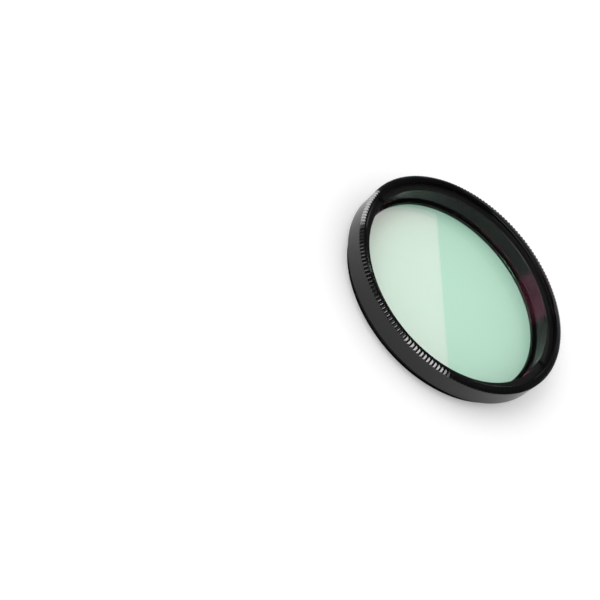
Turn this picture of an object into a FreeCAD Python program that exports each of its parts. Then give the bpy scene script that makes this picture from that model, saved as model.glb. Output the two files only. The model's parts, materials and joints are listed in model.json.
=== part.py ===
import FreeCAD, Part
import math
import os

# A round screw-in optical filter, 2 inch class: a black anodised cell, a coated glass disc and the
# slotted ring that holds the glass down. The axis is +Z, pointing out of the front face. The
# origin is the centre of the rear end of the male thread, on which the filter rests.

V = FreeCAD.Vector
CENTRE = V(0, 0, 0)
AXIS = V(0, 0, 1)

# Driving dimensions, mm. Every diameter is worked out from the filter thread, M48 x 0.75, which is
# the same at both ends, and from the walls and steps beside it
thread_diameter = 48.0
thread_pitch = 0.75

# Outside of the cell
rim_overhang = 1.05
body_height = 4.8
front_bevel = 0.4
rear_edge_chamfer = 0.25

# Male thread at the rear, drawn plain at its crests
rear_crest_allowance = 0.05
rear_thread_length = 1.95
rear_thread_lead = 0.3
undercut_width = 0.4
undercut_depth = 0.45

# Female thread at the front: its free turns are drawn plain at their crests, and the turns that
# the ring is screwed into at their roots, which the crests of the ring's own thread nearly touch
front_mouth_chamfer = 0.1
free_thread_gap = 0.1

# Glass pocket, the ledge at its foot and the clear aperture
pocket_wall = 0.5
ledge_width = 1.55
ledge_thickness = 0.65
ledge_edge_chamfer = 0.1

# Coin-edge knurl: V grooves cut straight across the front bevel, meeting in sharp crests
knurl_pitch = 0.828
groove_angle = 110.0
crest_drop = 0.01

# Glass disc
glass_thickness = 1.6
glass_edge_chamfer = 0.15
glass_side_clearance = 0.1
glass_above_pocket = 0.05

# Retaining ring
ring_cover = 0.8
ring_below_front = 1.3
ring_thread_clearance = 0.03
ring_outer_chamfer = 0.15
ring_bore_chamfer = 0.1
slot_count = 2
slot_width = 1.8
slot_depth = 0.5

# Heights above the rear end
shoulder_z = rear_thread_length
front_z = shoulder_z + body_height
glass_bottom_z = ledge_thickness
glass_top_z = glass_bottom_z + glass_thickness
ring_top_z = front_z - ring_below_front
bore_floor_z = glass_top_z - glass_above_pocket
free_thread_z = ring_top_z + free_thread_gap

# Radii. The female thread's crests stand 5/8 of the sharp thread's height in from its roots
root_r = thread_diameter / 2
sharp_height = thread_pitch * math.sqrt(3) / 2
mouth_r = root_r - 5 / 8 * sharp_height
thread_r = root_r - rear_crest_allowance
undercut_r = thread_r - undercut_depth
outer_r = root_r + rim_overhang
pocket_r = undercut_r - pocket_wall
aperture_r = pocket_r - ledge_width
glass_r = pocket_r - glass_side_clearance
ring_r = root_r - ring_thread_clearance
ring_bore_r = glass_r - ring_cover

# Knurl: a whole number of grooves, each as wide as the space that it has
knurl_count = round(2 * math.pi * outer_r / knurl_pitch)
half_groove = math.pi * outer_r / knurl_count
groove_slope = math.tan(math.radians(groove_angle / 2))
groove_depth = half_groove / groove_slope + crest_drop


def turned(profile):
    """Solid of revolution about the axis, from (radius, height) corners in order."""
    corners = [V(r, 0, z) for r, z in profile]
    outline = Part.makePolygon(corners + corners[:1])
    return Part.Face(outline).revolve(CENTRE, AXIS, 360)


def around(shape, count):
    """Equally spaced copies of a shape about the axis."""
    copies = []
    for i in range(count):
        copy = shape.copy()
        copy.rotate(CENTRE, AXIS, 360 * i / count)
        copies.append(copy)
    return copies


def rear_outline():
    """Corners of the male thread, its undercut and the band, from the aperture to the bevel."""
    thread_end_z = shoulder_z - undercut_width
    return [
        (aperture_r + ledge_edge_chamfer, 0),
        (thread_r - rear_thread_lead, 0),
        (thread_r, rear_thread_lead),
        (thread_r, thread_end_z),
        (undercut_r, thread_end_z),
        (undercut_r, shoulder_z),
        (outer_r - rear_edge_chamfer, shoulder_z),
        (outer_r, shoulder_z + rear_edge_chamfer),
        (outer_r, front_z - front_bevel),
        (outer_r - front_bevel, front_z),
    ]


def inner_outline():
    """Corners of the front mouth, the ring's thread, the glass pocket and the ledge."""
    return [
        (mouth_r + front_mouth_chamfer, front_z),
        (mouth_r, front_z - front_mouth_chamfer),
        (mouth_r, free_thread_z),
        (root_r, free_thread_z),
        (root_r, bore_floor_z),
        (pocket_r, bore_floor_z),
        (pocket_r, ledge_thickness),
        (aperture_r + ledge_edge_chamfer, ledge_thickness),
        (aperture_r, ledge_thickness - ledge_edge_chamfer),
        (aperture_r, ledge_edge_chamfer),
    ]


def knurl_cutter():
    """V-shaped bar that lies along the bevel, with its edge groove_depth below the bevel's face."""
    outward = V(1, 0, 1).normalize()
    along = V(1, 0, -1).normalize()
    sideways = V(0, 1, 0)
    bevel_middle = V(outer_r - front_bevel / 2, 0, front_z - front_bevel / 2)
    rise = groove_depth / 10
    half_width = (groove_depth + rise) * groove_slope
    half_length = front_bevel / math.sqrt(2) + 2 * groove_depth
    start = bevel_middle - along * half_length
    section = [
        start - outward * groove_depth,
        start + outward * rise + sideways * half_width,
        start + outward * rise - sideways * half_width,
    ]
    face = Part.Face(Part.makePolygon(section + section[:1]))
    return face.extrude(along * (2 * half_length))


def filter_cell():
    """The cell, turned from one piece, with the knurl cut round its front bevel."""
    blank = turned(rear_outline() + inner_outline())
    return blank.cut(around(knurl_cutter(), knurl_count))


def filter_glass():
    """The coated disc, with a small ground chamfer on both edges."""
    edge_r = glass_r - glass_edge_chamfer
    return turned([
        (0, glass_bottom_z),
        (edge_r, glass_bottom_z),
        (glass_r, glass_bottom_z + glass_edge_chamfer),
        (glass_r, glass_top_z - glass_edge_chamfer),
        (edge_r, glass_top_z),
        (0, glass_top_z),
    ])


def retaining_ring():
    """The ring that screws down on the glass, with slots for a pin spanner in its top."""
    blank = turned([
        (ring_bore_r, glass_top_z),
        (ring_r - ring_outer_chamfer, glass_top_z),
        (ring_r, glass_top_z + ring_outer_chamfer),
        (ring_r, ring_top_z - ring_outer_chamfer),
        (ring_r - ring_outer_chamfer, ring_top_z),
        (ring_bore_r + ring_bore_chamfer, ring_top_z),
        (ring_bore_r, ring_top_z - ring_bore_chamfer),
    ])
    floor = V(0, -slot_width / 2, ring_top_z - slot_depth)
    slot = Part.makeBox(outer_r, slot_width, 2 * slot_depth, floor)
    return blank.cut(around(slot, slot_count))


os.makedirs("parts", exist_ok=True)
parts = {
    "filter_cell": filter_cell(),
    "filter_glass": filter_glass(),
    "retaining_ring": retaining_ring(),
}
for name, shape in parts.items():
    solid = shape.Solids[0]
    print(name, "solids", len(shape.Solids), "valid", shape.isValid(), "volume", round(solid.Volume, 2))
    solid.exportStep("parts/" + name + ".step")
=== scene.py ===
import json
import math

import bmesh
import bpy
from bpy.props import FloatProperty, FloatVectorProperty, IntProperty, PointerProperty
from mathutils import Matrix, Vector


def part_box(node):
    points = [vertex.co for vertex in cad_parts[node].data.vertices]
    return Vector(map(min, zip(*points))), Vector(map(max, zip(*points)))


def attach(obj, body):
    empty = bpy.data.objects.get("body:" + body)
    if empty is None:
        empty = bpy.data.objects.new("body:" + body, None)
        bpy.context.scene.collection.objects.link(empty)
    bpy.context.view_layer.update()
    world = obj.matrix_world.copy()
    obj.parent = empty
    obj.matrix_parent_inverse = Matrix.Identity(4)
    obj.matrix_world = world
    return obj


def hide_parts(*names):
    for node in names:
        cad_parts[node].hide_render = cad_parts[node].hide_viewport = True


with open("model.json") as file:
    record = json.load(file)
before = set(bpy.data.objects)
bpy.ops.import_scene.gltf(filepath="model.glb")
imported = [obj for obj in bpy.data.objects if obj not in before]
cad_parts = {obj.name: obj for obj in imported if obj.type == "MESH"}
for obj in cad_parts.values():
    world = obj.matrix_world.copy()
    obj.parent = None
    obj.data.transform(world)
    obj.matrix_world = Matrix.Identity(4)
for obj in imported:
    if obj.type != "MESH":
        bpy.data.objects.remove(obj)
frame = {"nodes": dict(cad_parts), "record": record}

bl_info = {
    "name": "Screw-in optical filter",
    "version": (1, 0, 0),
    "blender": (4, 5, 0),
    "location": "3D View > Sidebar > Filter",
    "description": "Builds a knurled filter cell, its retaining ring, its coated glass and a studio",
    "category": "Add Mesh",
}

MM = 0.001
BODY = "root"

# Steps round the axis in the ring, in the glass and in one turn of a thread. The cell has two for
# each groove of its knurl, which comes to the same
STEPS_PER_TURN = 380

# An ISO thread, in pitches: its depth, 5/8 of the height of a sharp triangle, and how wide the
# bottom of a groove is in a male and in a female one. Its two sides lean by 30 degrees
THREAD_DEPTH = 5 / 8 * math.sqrt(3) / 2
MALE_ROOT = 1 / 4
FEMALE_ROOT = 1 / 8
FLANK_SLOPE = math.tan(math.radians(30))

# The threads as they are cut: how far a cutter reaches past the crests, the turns at the rear, the
# part of the relief's height at which the front thread starts, and the turns that the ring's
# starts under it, so that the crests of the one lie in the grooves of the other
CUTTER_MARGIN = 0.05 * MM
REAR_TURNS = 3
FRONT_START = 0.75
RING_START_UNDER = 1.5

# Angles over which an edge is rounded, is bevelled on the glass, and stays crisp in the shading
ROUNDED_OVER = 20.0
GLASS_EDGE_OVER = 60.0
CRISP_OVER = 35.0

# Faces whose areas differ by less than this part weigh the same in the shading
SAME_AREA = 0.001

# Gloss of the two black finishes, as roughness and index of refraction
CELL_GLOSS = (0.09, 1.5)
RING_GLOSS = (0.13, 1.38)

# The cell is matt in its bore and this far past it
MATT_PAST_BORE = 0.01 * MM

# Detail of the black film, in cycles per metre: turning marks, pits and cloudy gloss, and the
# height of the first two
MARKS_SCALE = 9000.0
PITS_SCALE = 14000.0
CLOUD_SCALE = 300.0
FILM_RELIEF = 1.2e-6

# Parts of the mean roughness between which the cloudy gloss varies, and parts of the colour
# between which the pits do
CLOUD_RANGE = (0.8, 1.2)
PITS_RANGE = (0.7, 1.4)

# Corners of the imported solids, and the radii of the two threads that the record states
CELL_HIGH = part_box("filter_cell")[1]
GLASS_LOW, GLASS_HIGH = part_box("filter_glass")
RING_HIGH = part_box("retaining_ring")[1]
THREAD_R = {m["name"]: m["dims"]["r_mm"] * MM for m in frame["record"]["mounts"] if "r_mm" in m["dims"]}

# The lens fitted to the photograph, which is 600 pixels wide: its focal length, and where the
# point that it was fitted about, on the axis a little under the front face, lies in the picture
PHOTO_WIDTH = 600.0
FOCAL_PX = 1373.8
RIM_CENTRE_PX = (463.65, 281.2)
RIM_CENTRE_DEPTH = 0.52 * MM
SENSOR_WIDTH = 36.0
CLIP_RANGE = (0.01, 10.0)

# The window card: its distance over the glass, its size, and the two points of the picture between
# which the glass mirrors one edge of it
WINDOW_DISTANCE = 0.6
WINDOW_SIZE = (0.055, 0.135)
WINDOW_EDGE_PX = ((437.0, 217.0), (449.0, 370.0))
WINDOW_RECEIVERS = "window_receivers"

# The other cards, all at one distance: azimuth and elevation in degrees, and size
CARD_DISTANCE = 0.9
SOFT_LIGHT = (-160.0, 52.0, (0.8, 0.6))
KEY_CARD = (-148.0, 24.5, (0.72, 0.17))
SIDE_CARD = (-161.0, 36.5, (0.69, 0.17))
TOP_CARD = (-107.0, 51.0, (0.7, 0.14))
ROOF_CARD = (-98.0, 80.0, (0.5, 0.3))
BACK_CARD = (78.0, 30.3, (0.22, 0.167))

# The room as gloss shows it: its brightness at the horizon, and the two heights in degrees between
# which it falls to that of the ceiling
HORIZON = 0.4
CEILING_FROM, CEILING_FULL = 3.0, 14.0

# The floor's side, and the light that it is lifted by to meet the white background
FLOOR_SIZE = 4.0
FLOOR_LIFT = 0.22


def length(name, text, size):
    """A size property in metres."""
    return FloatProperty(name=name, description=text, default=size, min=0.0, unit="LENGTH", precision=5)


def colour(name, text, value):
    """A colour property."""
    return FloatVectorProperty(
        name=name, description=text, default=value, min=0.0, max=1.0, size=3, subtype="COLOR"
    )


def level(name, text, value):
    """A plain number: a share of the light or the brightness of a lamp."""
    return FloatProperty(name=name, description=text, default=value, min=0.0)


def angle(name, text, degrees):
    """An angle property, from degrees."""
    return FloatProperty(name=name, description=text, default=math.radians(degrees), subtype="ANGLE")


class CellSettings(bpy.types.PropertyGroup):
    thread_pitch: length("Thread pitch", "Pitch of the M48 thread at both ends", 0.75 * MM)
    thread_length: length("Thread length", "Height of the band's rear face over the rear end", 1.95 * MM)
    thread_lead: length("Thread lead", "Chamfer at the start of the rear thread", 0.3 * MM)
    undercut_width: length("Undercut width", "Plain neck between the rear thread and the band", 0.4 * MM)
    undercut_depth: length("Undercut depth", "Depth of the neck under the thread's crests", 0.45 * MM)
    rear_chamfer: length("Rear chamfer", "Chamfer on the band's rear edge", 0.25 * MM)
    bevel: length("Front bevel", "Width of the bevel that the knurl is cut in", 0.4 * MM)
    mouth_chamfer: length("Mouth chamfer", "Chamfer at the front thread's mouth", 0.1 * MM)
    relief_height: length("Thread relief", "Height of the groove below the front thread", 0.5 * MM)
    pocket_depth: length("Pocket rim", "How far the glass stands out of its pocket", 0.05 * MM)
    pocket_clearance: length("Pocket clearance", "Gap round the edge of the glass", 0.1 * MM)
    aperture: length("Aperture", "Clear diameter behind the glass", 42.9 * MM)
    ledge_chamfer: length("Ledge chamfer", "Chamfer on both edges of the aperture", 0.1 * MM)
    knurl_count: IntProperty(name="Knurl", description="Grooves in the bevel", default=190, min=3)
    knurl_angle: angle("Knurl angle", "Angle between the two sides of a groove", 110.0)
    crest_land: length("Crest land", "Width taken off each side of the knurl's crests", 0.08 * MM)
    edge_break: length("Edge break", "Rounding of the sharp edges", 0.03 * MM)


class RingSettings(bpy.types.PropertyGroup):
    bore: length("Bore", "Inner diameter of the ring", 44.2 * MM)
    crest_clearance: length("Crest clearance", "Gap between the ring's crests and the cell", 0.05 * MM)
    outer_chamfer: length("Outer chamfer", "Chamfer on the ring's threaded edges", 0.15 * MM)
    bore_chamfer: length("Bore chamfer", "Chamfer on the inner front edge", 0.1 * MM)
    slot_width: length("Slot width", "Width of the two spanner slots", 1.8 * MM)
    slot_depth: length("Slot depth", "Depth of the two spanner slots", 0.5 * MM)


class GlassSettings(bpy.types.PropertyGroup):
    chamfer: length("Chamfer", "Ground chamfer on both edges", 0.15 * MM)
    seat_gap: length("Seat gap", "Gap between the glass and what holds it", 0.004 * MM)
    tint: colour("Tint", "Colour of what is seen through the coated glass", (0.70, 0.97, 0.80))
    shade: colour("Shade", "Colour of the light that the glass lets down to the floor", (0.93, 1.0, 0.98))
    film: level("Film", "Part of the light that the coating throws back", 0.2)
    sheen: colour("Reflection", "Light that the coating throws back", (1.0, 0.0, 0.32))


class StudioSettings(bpy.types.PropertyGroup):
    anodised: colour("Anodised black", "Colour of the cell", (0.004, 0.004, 0.0045))
    anodised_ring: colour("Ring black", "Colour of the ring", (0.010, 0.010, 0.010))
    floor: colour("Floor", "Colour of the floor", (0.86, 0.86, 0.86))
    camera_distance: length("Camera distance", "From the lens to the axis under the front face", 275.0 * MM)
    camera_elevation: angle("Camera elevation", "Height of the view over the horizon", 37.718)
    camera_azimuth: angle("Camera azimuth", "Side that the camera stands on, from +X", -98.0)
    camera_roll: angle("Camera roll", "How far the picture is turned", 50.686)
    soft: level("Soft light", "Brightness of the box that lights the floor", 1.6)
    key: level("Key card", "Brightness of the card that the knurl mirrors", 13.0)
    side: level("Side card", "Brightness of the card over the key", 4.6)
    top: level("Top card", "Brightness of the card that far edges mirror", 10.0)
    roof: level("Roof card", "Brightness of the card overhead", 1.5)
    back: level("Back card", "Brightness of the low card behind", 0.8)
    window: level("Window card", "Brightness of the card that the glass mirrors", 1.7)
    fill: level("Fill", "Strength of the room on plain surfaces", 0.8)
    ceiling: level("Ceiling", "Brightness of the room overhead, as gloss shows it", 0.03)


# Mesh tools


def deselect():
    """Nothing stays selected, so that the next operator acts on its own piece only."""
    if bpy.context.mode != "OBJECT":
        bpy.ops.object.mode_set(mode="OBJECT")
    bpy.ops.object.select_all(action="DESELECT")


def select_where(test):
    """Selects the vertices of the mesh in edit mode whose place passes the test."""
    mesh = bmesh.from_edit_mesh(bpy.context.object.data)
    for vertex in mesh.verts:
        vertex.select = test(vertex.co)
    mesh.select_flush_mode()
    bmesh.update_edit_mesh(bpy.context.object.data)


def select_sloping(drop, test):
    """Selects the edges in edit mode that fall by more than drop and whose two ends pass the test."""
    mesh = bmesh.from_edit_mesh(bpy.context.object.data)
    for edge in mesh.edges:
        first, last = edge.verts
        sloping = abs(first.co.z - last.co.z) > drop
        edge.select_set(sloping and test(first.co) and test(last.co))
    bmesh.update_edit_mesh(bpy.context.object.data)


def turned(name, corners, segments):
    """A closed ring turned about the axis: a circle, extruded and resized for each corner."""
    deselect()
    r, z = corners[0]
    bpy.ops.mesh.primitive_circle_add(vertices=segments, radius=r, location=(0, 0, z))
    piece = bpy.context.object
    piece.name = name
    bpy.ops.object.transform_apply(location=True)
    bpy.ops.object.mode_set(mode="EDIT")
    bpy.ops.mesh.select_all(action="SELECT")
    for next_r, next_z in corners[1:]:
        bpy.ops.mesh.extrude_edges_move(TRANSFORM_OT_translate={"value": (0, 0, next_z - z)})
        bpy.ops.transform.resize(value=(next_r / r, next_r / r, 1), center_override=(0, 0, next_z))
        r, z = next_r, next_z
    bpy.ops.mesh.select_all(action="DESELECT")
    bpy.ops.mesh.select_mode(type="EDGE")
    bpy.ops.mesh.select_non_manifold()
    bpy.ops.mesh.bridge_edge_loops()
    bpy.ops.mesh.select_mode(type="VERT")
    bpy.ops.mesh.select_all(action="SELECT")
    bpy.ops.mesh.normals_make_consistent(inside=False)
    bpy.ops.object.mode_set(mode="OBJECT")
    return piece


def apply_modifier(piece, kind, **settings):
    """Adds one modifier to a piece and applies it."""
    deselect()
    piece.select_set(True)
    bpy.context.view_layer.objects.active = piece
    modifier = piece.modifiers.new(kind.title(), kind)
    for key, value in settings.items():
        setattr(modifier, key, value)
    bpy.ops.object.modifier_apply(modifier=modifier.name)


def cut(piece, cutter):
    """Takes the cutter's volume away from the piece, and the cutter with it."""
    apply_modifier(piece, "BOOLEAN", operation="DIFFERENCE", object=cutter, solver="MANIFOLD")
    bpy.data.objects.remove(cutter)


def thread_cutter(root_r, mouth_r, root_width, first_z, last_z, pitch):
    """A right-handed helical V, root_width wide at root_r and open to 60 degrees at mouth_r."""
    depth = abs(mouth_r - root_r)
    mouth_width = root_width + 2 * depth * FLANK_SLOPE
    deselect()
    bpy.ops.mesh.primitive_plane_add(size=1, rotation=(math.pi / 2, 0, 0))
    cutter = bpy.context.object
    bpy.ops.object.transform_apply(rotation=True)
    bpy.ops.object.mode_set(mode="EDIT")
    bpy.ops.mesh.select_all(action="SELECT")
    bpy.ops.transform.resize(value=(depth, 1, mouth_width))
    bpy.ops.transform.translate(value=((root_r + mouth_r) / 2, 0, first_z))
    select_where(lambda co: abs(co.x - root_r) < depth / 10)
    ratio = root_width / mouth_width
    bpy.ops.transform.resize(value=(1, 1, ratio), center_override=(root_r, 0, first_z))
    bpy.ops.object.mode_set(mode="OBJECT")
    turns = (last_z - first_z) / pitch
    steps = round(turns * STEPS_PER_TURN)
    apply_modifier(
        cutter, "SCREW", angle=turns * 2 * math.pi, screw_offset=last_z - first_z,
        steps=steps, render_steps=steps, use_normal_calculate=True,
    )
    bpy.ops.object.mode_set(mode="EDIT")
    bpy.ops.mesh.select_all(action="DESELECT")
    bpy.ops.mesh.select_non_manifold()
    bpy.ops.mesh.fill_holes(sides=0)
    bpy.ops.mesh.select_all(action="SELECT")
    bpy.ops.mesh.normals_make_consistent(inside=False)
    bpy.ops.object.mode_set(mode="OBJECT")
    return cutter


def soften_edges(piece, width):
    """A small two-step rounding on every sharp edge of the piece."""
    deselect()
    piece.select_set(True)
    bpy.context.view_layer.objects.active = piece
    bpy.ops.object.mode_set(mode="EDIT")
    bpy.ops.mesh.select_mode(type="EDGE")
    bpy.ops.mesh.select_all(action="DESELECT")
    bpy.ops.mesh.edges_select_sharp(sharpness=math.radians(ROUNDED_OVER))
    bpy.ops.mesh.bevel(offset=width, segments=2, affect="EDGES", clamp_overlap=True)
    bpy.ops.mesh.select_mode(type="VERT")
    bpy.ops.object.mode_set(mode="OBJECT")


def scale_mesh(piece, factor):
    """Scales a mesh about the origin. Weighting the normals by area needs millimetres."""
    piece.scale = (factor, factor, factor)
    deselect()
    piece.select_set(True)
    bpy.context.view_layer.objects.active = piece
    bpy.ops.object.transform_apply(scale=True)


def finish_piece(piece, node, material):
    """Smooth faces, sharp corners, a material, and the CAD node that the piece stands for."""
    deselect()
    piece.select_set(True)
    bpy.context.view_layer.objects.active = piece
    bpy.ops.object.shade_smooth_by_angle(angle=math.radians(CRISP_OVER))
    scale_mesh(piece, 1 / MM)
    apply_modifier(piece, "WEIGHTED_NORMAL", weight=100, thresh=SAME_AREA, keep_sharp=True)
    scale_mesh(piece, MM)
    piece.data.materials.clear()
    piece.data.materials.append(material)
    frame["nodes"][node].data.materials.clear()
    frame["nodes"][node].data.materials.append(material)
    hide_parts(node)
    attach(piece, BODY)


# Materials


def new_material(name):
    """An empty node material and its shader."""
    material = bpy.data.materials.new(name)
    material.use_nodes = True
    shader = material.node_tree.nodes["Principled BSDF"]
    return material, shader


def anodised_finish(name, base, roughness, ior, matt_r):
    """Black anodised aluminium: a fine pitted film over turning marks, quite matt inside matt_r."""
    material, shader = new_material(name)
    shader.inputs["IOR"].default_value = ior
    tree = material.node_tree
    place = tree.nodes.new("ShaderNodeTexCoord")
    split = tree.nodes.new("ShaderNodeSeparateXYZ")
    tree.links.new(place.outputs["Object"], split.inputs[0])
    flat = tree.nodes.new("ShaderNodeCombineXYZ")
    tree.links.new(split.outputs["X"], flat.inputs["X"])
    tree.links.new(split.outputs["Y"], flat.inputs["Y"])
    radius = tree.nodes.new("ShaderNodeVectorMath")
    radius.operation = "LENGTH"
    tree.links.new(flat.outputs[0], radius.inputs[0])
    lathe = tree.nodes.new("ShaderNodeCombineXYZ")
    tree.links.new(radius.outputs["Value"], lathe.inputs["X"])
    tree.links.new(split.outputs["Z"], lathe.inputs["Y"])

    inside = tree.nodes.new("ShaderNodeMapRange")
    inside.inputs["From Min"].default_value = matt_r
    inside.inputs["From Max"].default_value = matt_r + MATT_PAST_BORE
    inside.inputs["To Min"].default_value = 1.0
    inside.inputs["To Max"].default_value = 0.0
    tree.links.new(radius.outputs["Value"], inside.inputs["Value"])

    marks = tree.nodes.new("ShaderNodeTexNoise")
    marks.noise_dimensions = "2D"
    marks.inputs["Scale"].default_value = MARKS_SCALE
    marks.inputs["Detail"].default_value = 2.0
    tree.links.new(lathe.outputs[0], marks.inputs["Vector"])
    pits = tree.nodes.new("ShaderNodeTexNoise")
    pits.inputs["Scale"].default_value = PITS_SCALE
    pits.inputs["Detail"].default_value = 3.0
    tree.links.new(place.outputs["Object"], pits.inputs["Vector"])
    cloud = tree.nodes.new("ShaderNodeTexNoise")
    cloud.inputs["Scale"].default_value = CLOUD_SCALE
    cloud.inputs["Detail"].default_value = 4.0
    tree.links.new(place.outputs["Object"], cloud.inputs["Vector"])

    turned_bump = tree.nodes.new("ShaderNodeBump")
    turned_bump.inputs["Strength"].default_value = 0.5
    turned_bump.inputs["Distance"].default_value = FILM_RELIEF
    tree.links.new(marks.outputs["Fac"], turned_bump.inputs["Height"])
    pit_bump = tree.nodes.new("ShaderNodeBump")
    pit_bump.inputs["Strength"].default_value = 0.5
    pit_bump.inputs["Distance"].default_value = FILM_RELIEF
    tree.links.new(pits.outputs["Fac"], pit_bump.inputs["Height"])
    tree.links.new(turned_bump.outputs[0], pit_bump.inputs["Normal"])
    tree.links.new(pit_bump.outputs[0], shader.inputs["Normal"])

    rough = tree.nodes.new("ShaderNodeMapRange")
    rough.inputs["To Min"].default_value = roughness * CLOUD_RANGE[0]
    rough.inputs["To Max"].default_value = roughness * CLOUD_RANGE[1]
    tree.links.new(cloud.outputs["Fac"], rough.inputs["Value"])
    matt = tree.nodes.new("ShaderNodeMath")
    matt.operation = "MAXIMUM"
    tree.links.new(rough.outputs[0], matt.inputs[0])
    tree.links.new(inside.outputs[0], matt.inputs[1])
    tree.links.new(matt.outputs[0], shader.inputs["Roughness"])

    shade = tree.nodes.new("ShaderNodeMix")
    shade.data_type = "RGBA"
    shade.inputs["A"].default_value = (*[c * PITS_RANGE[0] for c in base], 1)
    shade.inputs["B"].default_value = (*[c * PITS_RANGE[1] for c in base], 1)
    tree.links.new(pits.outputs["Fac"], shade.inputs["Factor"])
    tree.links.new(shade.outputs["Result"], shader.inputs["Base Color"])
    return material


def coated_glass_finish(settings):
    """Clear glass with a green-passing coating, which lets soft light through to what is behind."""
    material, shader = new_material("coated_glass")
    tree = material.node_tree
    shader.inputs["Base Color"].default_value = (*settings.tint, 1)
    shader.inputs["Roughness"].default_value = 0.0
    shader.inputs["IOR"].default_value = 1.52
    shader.inputs["Transmission Weight"].default_value = 1.0
    shader.inputs["Specular Tint"].default_value = (*settings.sheen, 1)
    coat = tree.nodes.new("ShaderNodeBsdfGlossy")
    coat.inputs["Color"].default_value = (*settings.sheen, 1)
    coat.inputs["Roughness"].default_value = 0.0
    clear = tree.nodes.new("ShaderNodeBsdfTransparent")
    clear.inputs["Color"].default_value = (*[math.sqrt(c) for c in settings.shade], 1)
    path = tree.nodes.new("ShaderNodeLightPath")
    mirrored = tree.nodes.new("ShaderNodeMath")
    mirrored.operation = "SUBTRACT"
    mirrored.use_clamp = True
    tree.links.new(path.outputs["Is Glossy Ray"], mirrored.inputs[0])
    tree.links.new(path.outputs["Is Transmission Ray"], mirrored.inputs[1])
    film = tree.nodes.new("ShaderNodeMath")
    film.operation = "MULTIPLY"
    film.inputs[1].default_value = settings.film
    tree.links.new(mirrored.outputs[0], film.inputs[0])
    coated = tree.nodes.new("ShaderNodeMixShader")
    tree.links.new(film.outputs[0], coated.inputs["Fac"])
    tree.links.new(shader.outputs[0], coated.inputs[1])
    tree.links.new(coat.outputs[0], coated.inputs[2])
    soft = tree.nodes.new("ShaderNodeMath")
    soft.operation = "MAXIMUM"
    tree.links.new(path.outputs["Is Shadow Ray"], soft.inputs[0])
    tree.links.new(path.outputs["Is Diffuse Ray"], soft.inputs[1])
    mix = tree.nodes.new("ShaderNodeMixShader")
    output = tree.nodes["Material Output"]
    tree.links.new(soft.outputs[0], mix.inputs["Fac"])
    tree.links.new(coated.outputs[0], mix.inputs[1])
    tree.links.new(clear.outputs[0], mix.inputs[2])
    tree.links.new(mix.outputs[0], output.inputs["Surface"])
    return material


def floor_finish(paper):
    """Plain white paper, a little brighter to the camera so that it meets the background."""
    material, shader = new_material("floor_paper")
    tree = material.node_tree
    shader.inputs["Base Color"].default_value = (*paper, 1)
    shader.inputs["Roughness"].default_value = 0.9
    shader.inputs["Specular IOR Level"].default_value = 0.0
    shader.inputs["Emission Color"].default_value = (1, 1, 1, 1)
    path = tree.nodes.new("ShaderNodeLightPath")
    lift = tree.nodes.new("ShaderNodeMath")
    lift.operation = "MULTIPLY"
    lift.inputs[1].default_value = FLOOR_LIFT
    tree.links.new(path.outputs["Is Camera Ray"], lift.inputs[0])
    tree.links.new(lift.outputs[0], shader.inputs["Emission Strength"])
    return material


# Pieces


def front_root_r(cell):
    """Radius at the bottom of the front thread."""
    return THREAD_R["front_thread"] + THREAD_DEPTH * cell.thread_pitch


def front_thread_start(cell):
    """Height at which the front thread's helix starts, inside its relief."""
    return GLASS_HIGH.z - cell.pocket_depth + cell.relief_height * FRONT_START


def thread_end(start_z, top_z, pitch):
    """Height after whole turns that clears the top by a turn or more."""
    return start_z + (math.ceil((top_z - start_z) / pitch) + 1) * pitch


def cell_corners(cell, glass_r):
    """Corners of the cell's section as (radius, height), from the aperture's rear edge outwards."""
    front_z = CELL_HIGH.z
    outer_r = CELL_HIGH.x
    crest_r = THREAD_R["rear_thread"]
    mouth_r = THREAD_R["front_thread"]
    root_r = front_root_r(cell)
    neck_r = crest_r - cell.undercut_depth
    neck_z = cell.thread_length - cell.undercut_width
    aperture_r = cell.aperture / 2
    pocket_r = glass_r + cell.pocket_clearance
    floor_z = GLASS_HIGH.z - cell.pocket_depth
    relief_z = floor_z + cell.relief_height
    return [
        (aperture_r + cell.ledge_chamfer, 0),
        (crest_r - cell.thread_lead, 0),
        (crest_r, cell.thread_lead),
        (crest_r, neck_z),
        (neck_r, neck_z),
        (neck_r, cell.thread_length),
        (outer_r - cell.rear_chamfer, cell.thread_length),
        (outer_r, cell.thread_length + cell.rear_chamfer),
        (outer_r, front_z - cell.bevel),
        (outer_r - cell.bevel, front_z),
        (mouth_r + cell.mouth_chamfer, front_z),
        (mouth_r, front_z - cell.mouth_chamfer),
        (mouth_r, relief_z),
        (root_r, relief_z),
        (root_r, floor_z),
        (pocket_r, floor_z),
        (pocket_r, GLASS_LOW.z),
        (aperture_r + cell.ledge_chamfer, GLASS_LOW.z),
        (aperture_r, GLASS_LOW.z - cell.ledge_chamfer),
        (aperture_r, cell.ledge_chamfer),
    ]


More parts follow.
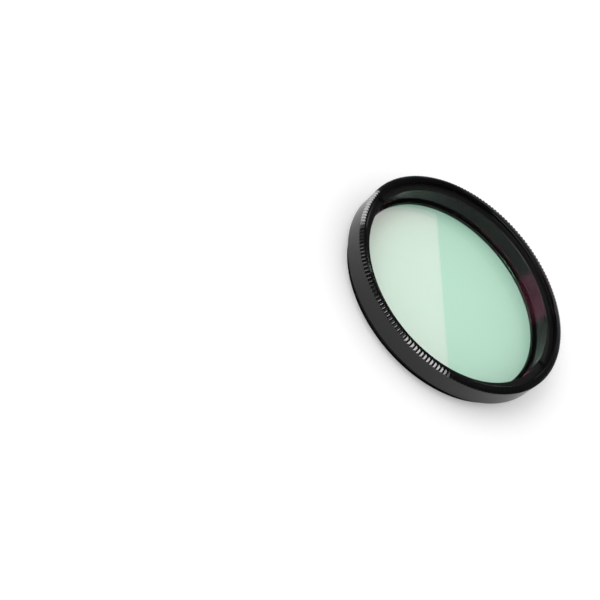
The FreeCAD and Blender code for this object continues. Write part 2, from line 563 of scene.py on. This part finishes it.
def press_knurl(piece, cell):
    """Lowers every second line across the bevel, and gives the crests between narrow lands."""
    outer_r = CELL_HIGH.x
    front_z = CELL_HIGH.z
    half_groove = math.pi * outer_r / cell.knurl_count
    depth = half_groove / math.tan(cell.knurl_angle / 2) * math.sqrt(2)
    step = math.pi / cell.knurl_count
    edge_z = front_z - cell.bevel
    edge_r = outer_r - cell.bevel
    reach = cell.bevel / 10

    def in_groove(co):
        return round(math.atan2(co.y, co.x) / step) % 2 == 0

    def on_band_edge(co):
        return abs(co.z - edge_z) < reach and co.xy.length > edge_r

    def on_front_edge(co):
        return co.z > front_z - reach and abs(co.xy.length - edge_r) < reach

    def on_crest(co):
        return not in_groove(co) and co.z > edge_z - reach and co.xy.length > edge_r - reach

    bpy.context.view_layer.objects.active = piece
    piece.select_set(True)
    bpy.ops.object.mode_set(mode="EDIT")
    select_where(lambda co: in_groove(co) and on_band_edge(co))
    bpy.ops.transform.translate(value=(0, 0, -depth))
    select_where(lambda co: in_groove(co) and on_front_edge(co))
    ratio = (edge_r - depth) / edge_r
    bpy.ops.transform.resize(value=(ratio, ratio, 1), center_override=(0, 0, front_z))
    bpy.ops.mesh.select_mode(type="EDGE")
    select_sloping(cell.bevel / 4, on_crest)
    bpy.ops.mesh.bevel(offset=cell.crest_land, segments=1, affect="EDGES")
    bpy.ops.mesh.select_mode(type="VERT")
    bpy.ops.object.mode_set(mode="OBJECT")


class FILTER_OT_add_cell(bpy.types.Operator):
    """Turns the cell, presses its knurl and cuts both threads"""

    bl_idname = "filter.add_cell"
    bl_label = "Add Filter Cell"

    def execute(self, context):
        cell = context.scene.filter_cell
        studio = context.scene.filter_studio
        piece = turned("cell", cell_corners(cell, GLASS_HIGH.x), 2 * cell.knurl_count)
        press_knurl(piece, cell)
        soften_edges(piece, cell.edge_break)
        pitch = cell.thread_pitch
        crest_r = THREAD_R["rear_thread"]
        root_r = crest_r - THREAD_DEPTH * pitch
        end_z = cell.thread_length - cell.undercut_width
        start_z = end_z - REAR_TURNS * pitch
        mouth_r = crest_r + CUTTER_MARGIN
        cut(piece, thread_cutter(root_r, mouth_r, MALE_ROOT * pitch, start_z, end_z, pitch))
        root_r = front_root_r(cell)
        mouth_r = THREAD_R["front_thread"] - 2 * CUTTER_MARGIN
        start_z = front_thread_start(cell)
        end_z = thread_end(start_z, CELL_HIGH.z, pitch)
        cut(piece, thread_cutter(root_r, mouth_r, FEMALE_ROOT * pitch, start_z, end_z, pitch))
        matt_r = cell.aperture / 2 + MATT_PAST_BORE
        finish = anodised_finish("anodised_black", studio.anodised, *CELL_GLOSS, matt_r)
        finish_piece(piece, "filter_cell", finish)
        return {"FINISHED"}


class FILTER_OT_add_ring(bpy.types.Operator):
    """Turns the retaining ring, cuts its thread and its two spanner slots"""

    bl_idname = "filter.add_ring"
    bl_label = "Add Retaining Ring"

    def execute(self, context):
        cell = context.scene.filter_cell
        ring = context.scene.filter_ring
        studio = context.scene.filter_studio
        bore_r = ring.bore / 2
        ring_r = front_root_r(cell) - ring.crest_clearance
        low_z = GLASS_HIGH.z
        top_z = RING_HIGH.z
        piece = turned("ring", [
            (bore_r, low_z),
            (ring_r - ring.outer_chamfer, low_z),
            (ring_r, low_z + ring.outer_chamfer),
            (ring_r, top_z - ring.outer_chamfer),
            (ring_r - ring.outer_chamfer, top_z),
            (bore_r + ring.bore_chamfer, top_z),
            (bore_r, top_z - ring.bore_chamfer),
        ], STEPS_PER_TURN)
        deselect()
        bpy.ops.mesh.primitive_cube_add(size=1, location=(0, 0, top_z))
        slot = bpy.context.object
        bpy.ops.transform.resize(value=(3 * ring_r, ring.slot_width, 2 * ring.slot_depth))
        bpy.ops.object.transform_apply(location=True, scale=True)
        cut(piece, slot)
        soften_edges(piece, cell.edge_break)
        pitch = cell.thread_pitch
        root_r = ring_r - THREAD_DEPTH * pitch
        start_z = front_thread_start(cell) - RING_START_UNDER * pitch
        end_z = thread_end(start_z, top_z, pitch)
        mouth_r = ring_r + CUTTER_MARGIN
        cut(piece, thread_cutter(root_r, mouth_r, MALE_ROOT * pitch, start_z, end_z, pitch))
        finish = anodised_finish("anodised_ring", studio.anodised_ring, *RING_GLOSS, 0.0)
        finish_piece(piece, "retaining_ring", finish)
        return {"FINISHED"}


class FILTER_OT_add_glass(bpy.types.Operator):
    """Adds the coated glass disc with its ground edges"""

    bl_idname = "filter.add_glass"
    bl_label = "Add Coated Glass"

    def execute(self, context):
        glass = context.scene.filter_glass
        deselect()
        middle_z = (GLASS_LOW.z + GLASS_HIGH.z) / 2
        bpy.ops.mesh.primitive_cylinder_add(
            vertices=STEPS_PER_TURN, radius=GLASS_HIGH.x, location=(0, 0, middle_z),
            depth=GLASS_HIGH.z - GLASS_LOW.z - 2 * glass.seat_gap,
        )
        piece = bpy.context.object
        piece.name = "glass"
        bpy.ops.object.transform_apply(location=True)
        bpy.ops.object.mode_set(mode="EDIT")
        bpy.ops.mesh.select_mode(type="EDGE")
        bpy.ops.mesh.select_all(action="DESELECT")
        bpy.ops.mesh.edges_select_sharp(sharpness=math.radians(GLASS_EDGE_OVER))
        bpy.ops.mesh.bevel(offset=glass.chamfer, segments=1, affect="EDGES")
        bpy.ops.mesh.select_mode(type="VERT")
        bpy.ops.object.mode_set(mode="OBJECT")
        finish_piece(piece, "filter_glass", coated_glass_finish(glass))
        bpy.data.collections[WINDOW_RECEIVERS].objects.link(piece)
        return {"FINISHED"}


# Studio


def towards(azimuth, elevation):
    """Direction from the object to something at an azimuth and an elevation."""
    level_part = math.cos(elevation)
    return Vector((math.cos(azimuth) * level_part, math.sin(azimuth) * level_part, math.sin(elevation)))


def through_lens(pixel):
    """Direction from the lens through a pixel of the photograph, in the camera's own axes."""
    return Vector((pixel[0] - PHOTO_WIDTH / 2, PHOTO_WIDTH / 2 - pixel[1], -FOCAL_PX))


def add_camera(studio):
    """The camera that the photograph was fitted with, aimed beside the object as the picture is."""
    target = Vector((0, 0, CELL_HIGH.z - RIM_CENTRE_DEPTH))
    back = towards(studio.camera_azimuth, studio.camera_elevation)
    level_up = (Vector((0, 0, 1)) - back * back.z).normalized()
    level_right = level_up.cross(back)
    roll = studio.camera_roll
    right = math.cos(roll) * level_right + math.sin(roll) * level_up
    up = back.cross(right)
    straight = Matrix((right, up, back)).transposed()
    aside = through_lens(RIM_CENTRE_PX)
    turn = Vector((0, 0, -1)).rotation_difference(aside).to_matrix()
    data = bpy.data.cameras.new("camera")
    data.sensor_width = SENSOR_WIDTH
    data.lens = FOCAL_PX / PHOTO_WIDTH * SENSOR_WIDTH
    data.clip_start, data.clip_end = CLIP_RANGE
    camera = bpy.data.objects.new("camera", data)
    place = (straight @ turn.inverted()).to_4x4()
    place.translation = target + back * studio.camera_distance
    camera.matrix_world = place
    bpy.context.scene.collection.objects.link(camera)
    bpy.context.scene.camera = camera
    return camera


def new_card(name, size, brightness, mirrored):
    """A soft box. A mirrored one is seen in gloss and lights nothing plain."""
    data = bpy.data.lights.new(name, "AREA")
    data.shape = "RECTANGLE"
    data.size, data.size_y = size
    data.energy = brightness * math.pi * size[0] * size[1]
    lamp = bpy.data.objects.new(name, data)
    lamp.visible_diffuse = not mirrored
    lamp.visible_glossy = mirrored
    bpy.context.scene.collection.objects.link(lamp)
    return lamp


def add_lamp(name, card, brightness, mirrored=True):
    """A soft box that faces the object, from a card's azimuth, elevation and size."""
    azimuth, elevation, size = card
    lamp = new_card(name, size, brightness, mirrored)
    side = towards(math.radians(azimuth), math.radians(elevation))
    lamp.location = side * CARD_DISTANCE
    lamp.rotation_mode = "QUATERNION"
    lamp.rotation_quaternion = side.to_track_quat("Z", "Y")


def mirrored_point(camera, pixel, distance):
    """What the glass mirrors at a pixel, at a distance over it, as a point and a direction."""
    ray = camera.matrix_world.to_3x3() @ through_lens(pixel).normalized()
    eye = camera.matrix_world.translation
    on_glass = eye + ray * ((GLASS_HIGH.z - eye.z) / ray.z)
    back = Vector((ray.x, ray.y, -ray.z))
    return on_glass + back * distance, back


def add_window(camera, brightness):
    """A card that only the glass mirrors, with one edge across it as in the photograph."""
    first, outward = mirrored_point(camera, WINDOW_EDGE_PX[0], WINDOW_DISTANCE)
    second, _ = mirrored_point(camera, WINDOW_EDGE_PX[1], WINDOW_DISTANCE)
    along = (second - first).normalized()
    facing = (outward - along * along.dot(outward)).normalized()
    across = along.cross(facing)
    lamp = new_card("window_card", WINDOW_SIZE, brightness, True)
    place = Matrix((across, along, facing)).transposed().to_4x4()
    place.translation = (first + second) / 2 + across * WINDOW_SIZE[0] / 2
    lamp.matrix_world = place
    glass_only = bpy.data.collections.new(WINDOW_RECEIVERS)
    lamp.light_linking.receiver_collection = glass_only


def set_world(fill, ceiling):
    """A room that is white to the camera, and that gloss shows pale at the horizon and dark above."""
    world = bpy.data.worlds.new("studio")
    bpy.context.scene.world = world
    world.use_nodes = True
    tree = world.node_tree
    back = tree.nodes["Background"]
    back.inputs["Color"].default_value = (1, 1, 1, 1)
    path = tree.nodes.new("ShaderNodeLightPath")
    place = tree.nodes.new("ShaderNodeTexCoord")
    split = tree.nodes.new("ShaderNodeSeparateXYZ")
    tree.links.new(place.outputs["Generated"], split.inputs[0])
    wall = tree.nodes.new("ShaderNodeMapRange")
    wall.interpolation_type = "SMOOTHSTEP"
    wall.inputs["From Min"].default_value = math.sin(math.radians(CEILING_FROM))
    wall.inputs["From Max"].default_value = math.sin(math.radians(CEILING_FULL))
    wall.inputs["To Min"].default_value = HORIZON
    wall.inputs["To Max"].default_value = ceiling
    tree.links.new(split.outputs["Z"], wall.inputs["Value"])
    gloss = tree.nodes.new("ShaderNodeMix")
    gloss.inputs["A"].default_value = fill
    tree.links.new(path.outputs["Is Glossy Ray"], gloss.inputs["Factor"])
    tree.links.new(wall.outputs[0], gloss.inputs["B"])
    through = tree.nodes.new("ShaderNodeMath")
    through.operation = "MAXIMUM"
    tree.links.new(path.outputs["Is Camera Ray"], through.inputs[0])
    tree.links.new(path.outputs["Is Transmission Ray"], through.inputs[1])
    seen = tree.nodes.new("ShaderNodeMix")
    seen.inputs["B"].default_value = 1.0
    tree.links.new(through.outputs[0], seen.inputs["Factor"])
    tree.links.new(gloss.outputs["Result"], seen.inputs["A"])
    tree.links.new(seen.outputs["Result"], back.inputs["Strength"])


class FILTER_OT_set_stage(bpy.types.Operator):
    """Adds the white floor, the soft lights and the camera"""

    bl_idname = "filter.set_stage"
    bl_label = "Set Stage"

    def execute(self, context):
        studio = context.scene.filter_studio
        deselect()
        bpy.ops.mesh.primitive_plane_add(size=FLOOR_SIZE)
        floor = bpy.context.object
        floor.name = "floor"
        floor.data.materials.append(floor_finish(studio.floor))
        add_lamp("soft_light", SOFT_LIGHT, studio.soft, mirrored=False)
        add_lamp("key_card", KEY_CARD, studio.key)
        add_lamp("side_card", SIDE_CARD, studio.side)
        add_lamp("top_card", TOP_CARD, studio.top)
        add_lamp("roof_card", ROOF_CARD, studio.roof)
        add_lamp("back_card", BACK_CARD, studio.back)
        set_world(studio.fill, studio.ceiling)
        add_window(add_camera(studio), studio.window)
        context.scene.view_settings.view_transform = "Standard"
        return {"FINISHED"}


class FILTER_PT_maker(bpy.types.Panel):
    """Lists the filter's pieces and the stage in the sidebar"""

    bl_idname = "FILTER_PT_maker"
    bl_label = "Optical Filter"
    bl_space_type = "VIEW_3D"
    bl_region_type = "UI"
    bl_category = "Filter"

    def draw(self, context):
        for operator in OPERATORS:
            self.layout.operator(operator.bl_idname)


GROUPS = {
    "filter_cell": CellSettings,
    "filter_ring": RingSettings,
    "filter_glass": GlassSettings,
    "filter_studio": StudioSettings,
}
OPERATORS = (FILTER_OT_add_cell, FILTER_OT_add_ring, FILTER_OT_add_glass, FILTER_OT_set_stage)
CLASSES = (*GROUPS.values(), *OPERATORS, FILTER_PT_maker)


def register():
    for cls in CLASSES:
        bpy.utils.register_class(cls)
    for name, group in GROUPS.items():
        setattr(bpy.types.Scene, name, PointerProperty(type=group))


def unregister():
    for name in GROUPS:
        delattr(bpy.types.Scene, name)
    for cls in reversed(CLASSES):
        bpy.utils.unregister_class(cls)


def main():
    """Builds every piece and the stage."""
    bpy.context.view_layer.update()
    register()
    bpy.ops.filter.set_stage()
    bpy.ops.filter.add_cell()
    bpy.ops.filter.add_ring()
    bpy.ops.filter.add_glass()


if __name__ == "__main__":
    main()
